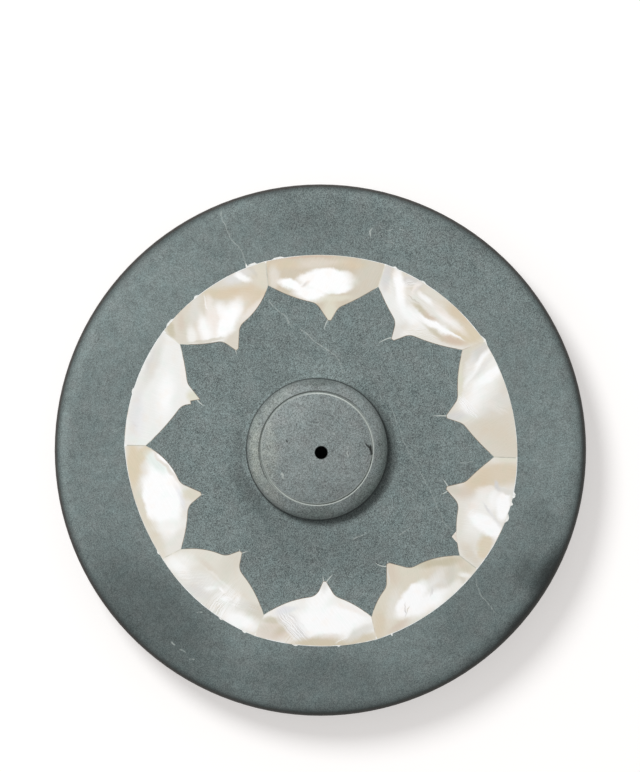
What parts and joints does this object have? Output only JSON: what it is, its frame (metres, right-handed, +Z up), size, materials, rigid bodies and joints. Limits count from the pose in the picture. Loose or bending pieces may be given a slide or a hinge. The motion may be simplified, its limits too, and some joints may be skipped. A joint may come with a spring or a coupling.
{
  "type": "incense stick holder",
  "caption": "Round stone incense stick holder: mother-of-pearl lotus petals inlaid flush in a ring, and a low grooved boss in the middle drilled to hold a stick upright.",
  "frame": {"origin": "middle of the disc's flat underside", "axes": "+Z up, square to the disc's face; +X to the right and +Y away from the viewer in the picture"},
  "size_m": [0.1, 0.1, 0.014],
  "materials": {
    "disc_stone": "honed grey-green soapstone, fine dark grain, pale hairline veins",
    "boss_stone": "honed grey soapstone, a little lighter than the disc",
    "cement": "pale matt cement",
    "filler": "white matt filler",
    "pearl_shell": "polished mother-of-pearl, cream to white with a soft pink and green sheen"
  },
  "bodies": {
    "root": {"stone_disc": "disc_stone", "centre_boss": "boss_stone", "boss_cement": "cement", "inlay_cement": "cement", "overcut_filler": "filler", "pearl_petal_01": "pearl_shell", "pearl_petal_02": "pearl_shell", "pearl_petal_03": "pearl_shell", "pearl_petal_04": "pearl_shell", "pearl_petal_05": "pearl_shell", "pearl_petal_06": "pearl_shell", "pearl_petal_07": "pearl_shell", "pearl_petal_08": "pearl_shell", "pearl_petal_09": "pearl_shell", "pearl_petal_10": "pearl_shell"}
  },
  "joints": []
}
